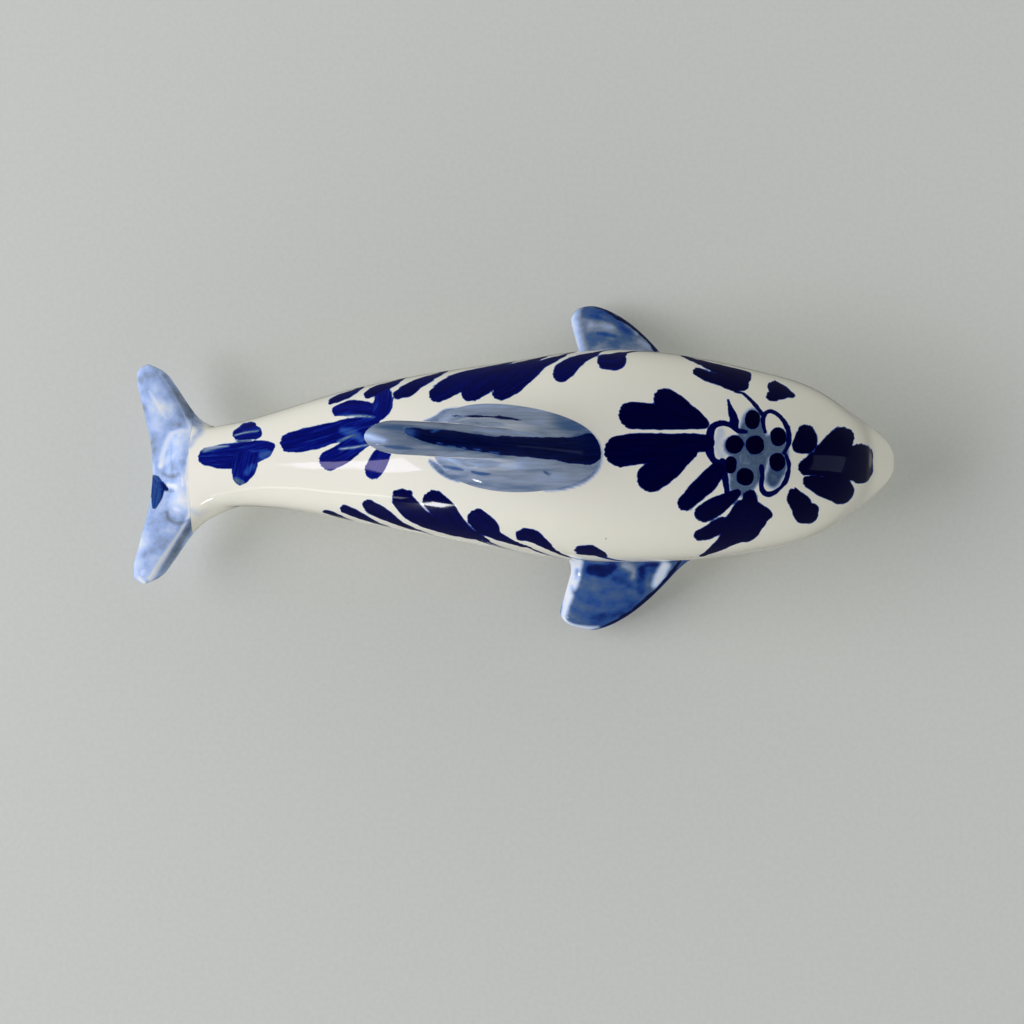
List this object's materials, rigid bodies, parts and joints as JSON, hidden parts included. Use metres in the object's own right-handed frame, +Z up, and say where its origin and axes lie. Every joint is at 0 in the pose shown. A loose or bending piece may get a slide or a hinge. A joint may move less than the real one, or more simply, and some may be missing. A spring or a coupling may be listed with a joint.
{
  "type": "dolphin figurine",
  "caption": "Glazed earthenware dolphin figurine lying on a flat belly foot, hollow cast body with stuck-on dorsal fin, flippers and tail flukes, painted with blue leaf and flower brushwork.",
  "frame": {"origin": "centre of the flat foot on the belly, in the plane the figurine rests on", "axes": "+X towards the beak, +Y to the dolphin's left, +Z up out of the back"},
  "size_m": [0.1102, 0.0494, 0.0449],
  "materials": {
    "white_glazed_earthenware": "clear gloss glaze over a warm white body, with cobalt blue brushwork under the glaze",
    "blue_wash_glazed_earthenware": "clear gloss glaze over a thin streaky wash of cobalt blue"
  },
  "bodies": {
    "root": {"body_shell": "white_glazed_earthenware", "dorsal_fin": "blue_wash_glazed_earthenware", "left_flipper": "blue_wash_glazed_earthenware", "right_flipper": "blue_wash_glazed_earthenware", "tail_flukes": "blue_wash_glazed_earthenware"}
  },
  "joints": []
}
